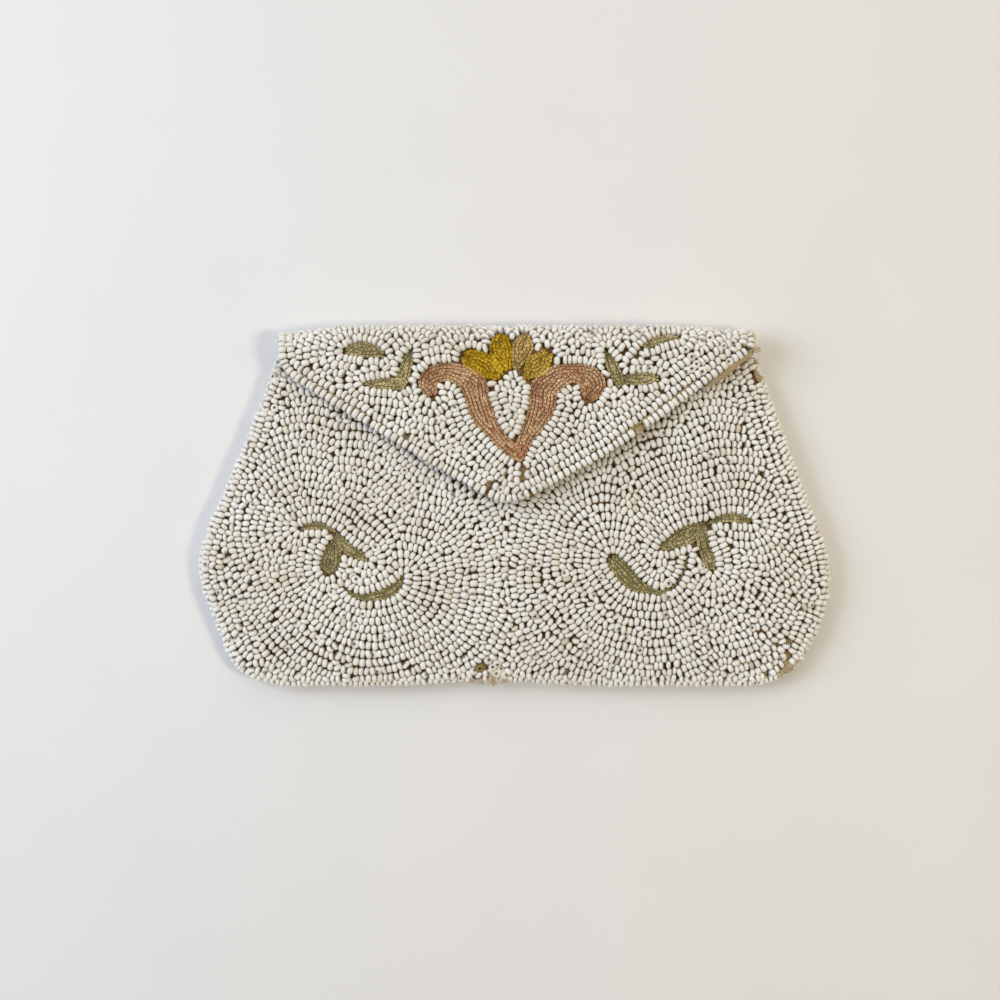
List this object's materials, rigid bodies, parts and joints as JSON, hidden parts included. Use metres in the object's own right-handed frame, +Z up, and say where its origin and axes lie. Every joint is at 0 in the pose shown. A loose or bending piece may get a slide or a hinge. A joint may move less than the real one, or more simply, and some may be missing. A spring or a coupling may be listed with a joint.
{
  "type": "beaded coin purse",
  "caption": "Flat envelope purse of beaded cloth: a flared pocket under a pointed flap, with stitched flowers and leaves, for coins and small things.",
  "frame": {"origin": "on the table under the middle of the purse, which lies on its back", "axes": "+X to the right along the folded top edge, +Y from the bottom edge to the folded top edge, +Z up out of the flap"},
  "size_m": [0.1517, 0.0863, 0.0139],
  "materials": {
    "beaded_cloth": "woven ground cloth covered with glossy off-white seed beads",
    "ground_cloth": "aged tan plain weave, matt",
    "seed_beads": "opaque off-white glass, glossy, slightly uneven",
    "embroidery_thread": "chain-stitched silk in faded rose, gold and sage",
    "stud_metal": "dull plated press stud"
  },
  "bodies": {
    "root": {"back_flap": "beaded_cloth", "front_panel": "beaded_cloth", "press_stud": "stud_metal"}
  },
  "joints": []
}
